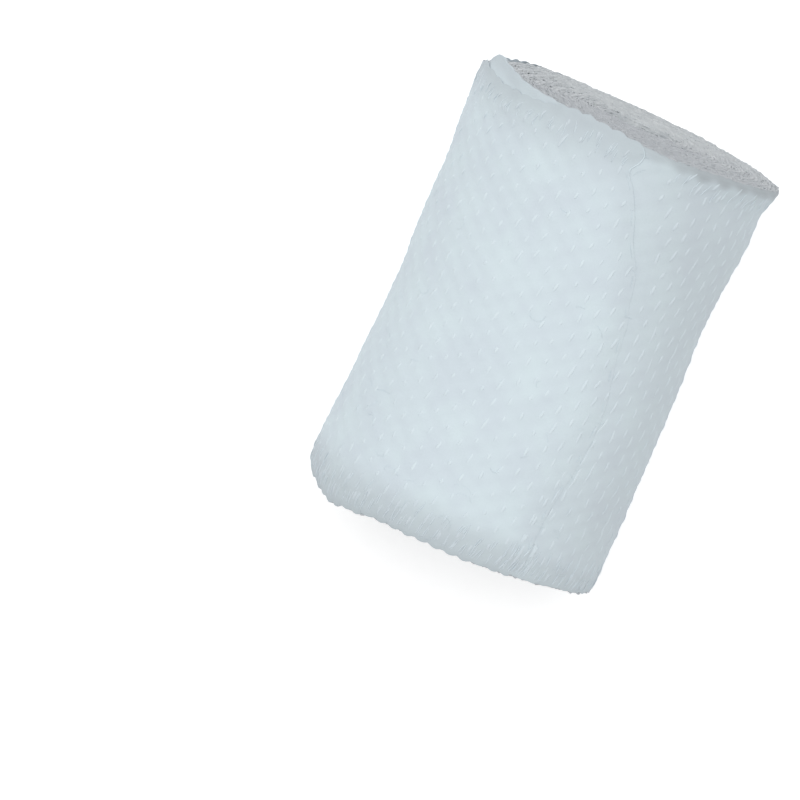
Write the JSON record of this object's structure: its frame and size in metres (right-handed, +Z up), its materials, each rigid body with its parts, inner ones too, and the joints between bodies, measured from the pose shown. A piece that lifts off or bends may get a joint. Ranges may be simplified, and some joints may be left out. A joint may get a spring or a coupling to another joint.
{
  "type": "gauze bandage roll",
  "caption": "Soft roll of knitted bleached gauze bandage lying on its side, waisted with a flared end and a loose outer end.",
  "frame": {"origin": "on the surface it rests on, under the middle of the roll", "axes": "+X along the roll's axis towards its flared end, +Y to the side that the loose end wraps, +Z up"},
  "size_m": [0.0516, 0.0365, 0.0355],
  "materials": {
    "gauze": "matt bleached open-knit gauze"
  },
  "bodies": {
    "root": {"roll": "gauze", "loose_end": "gauze"}
  },
  "joints": []
}
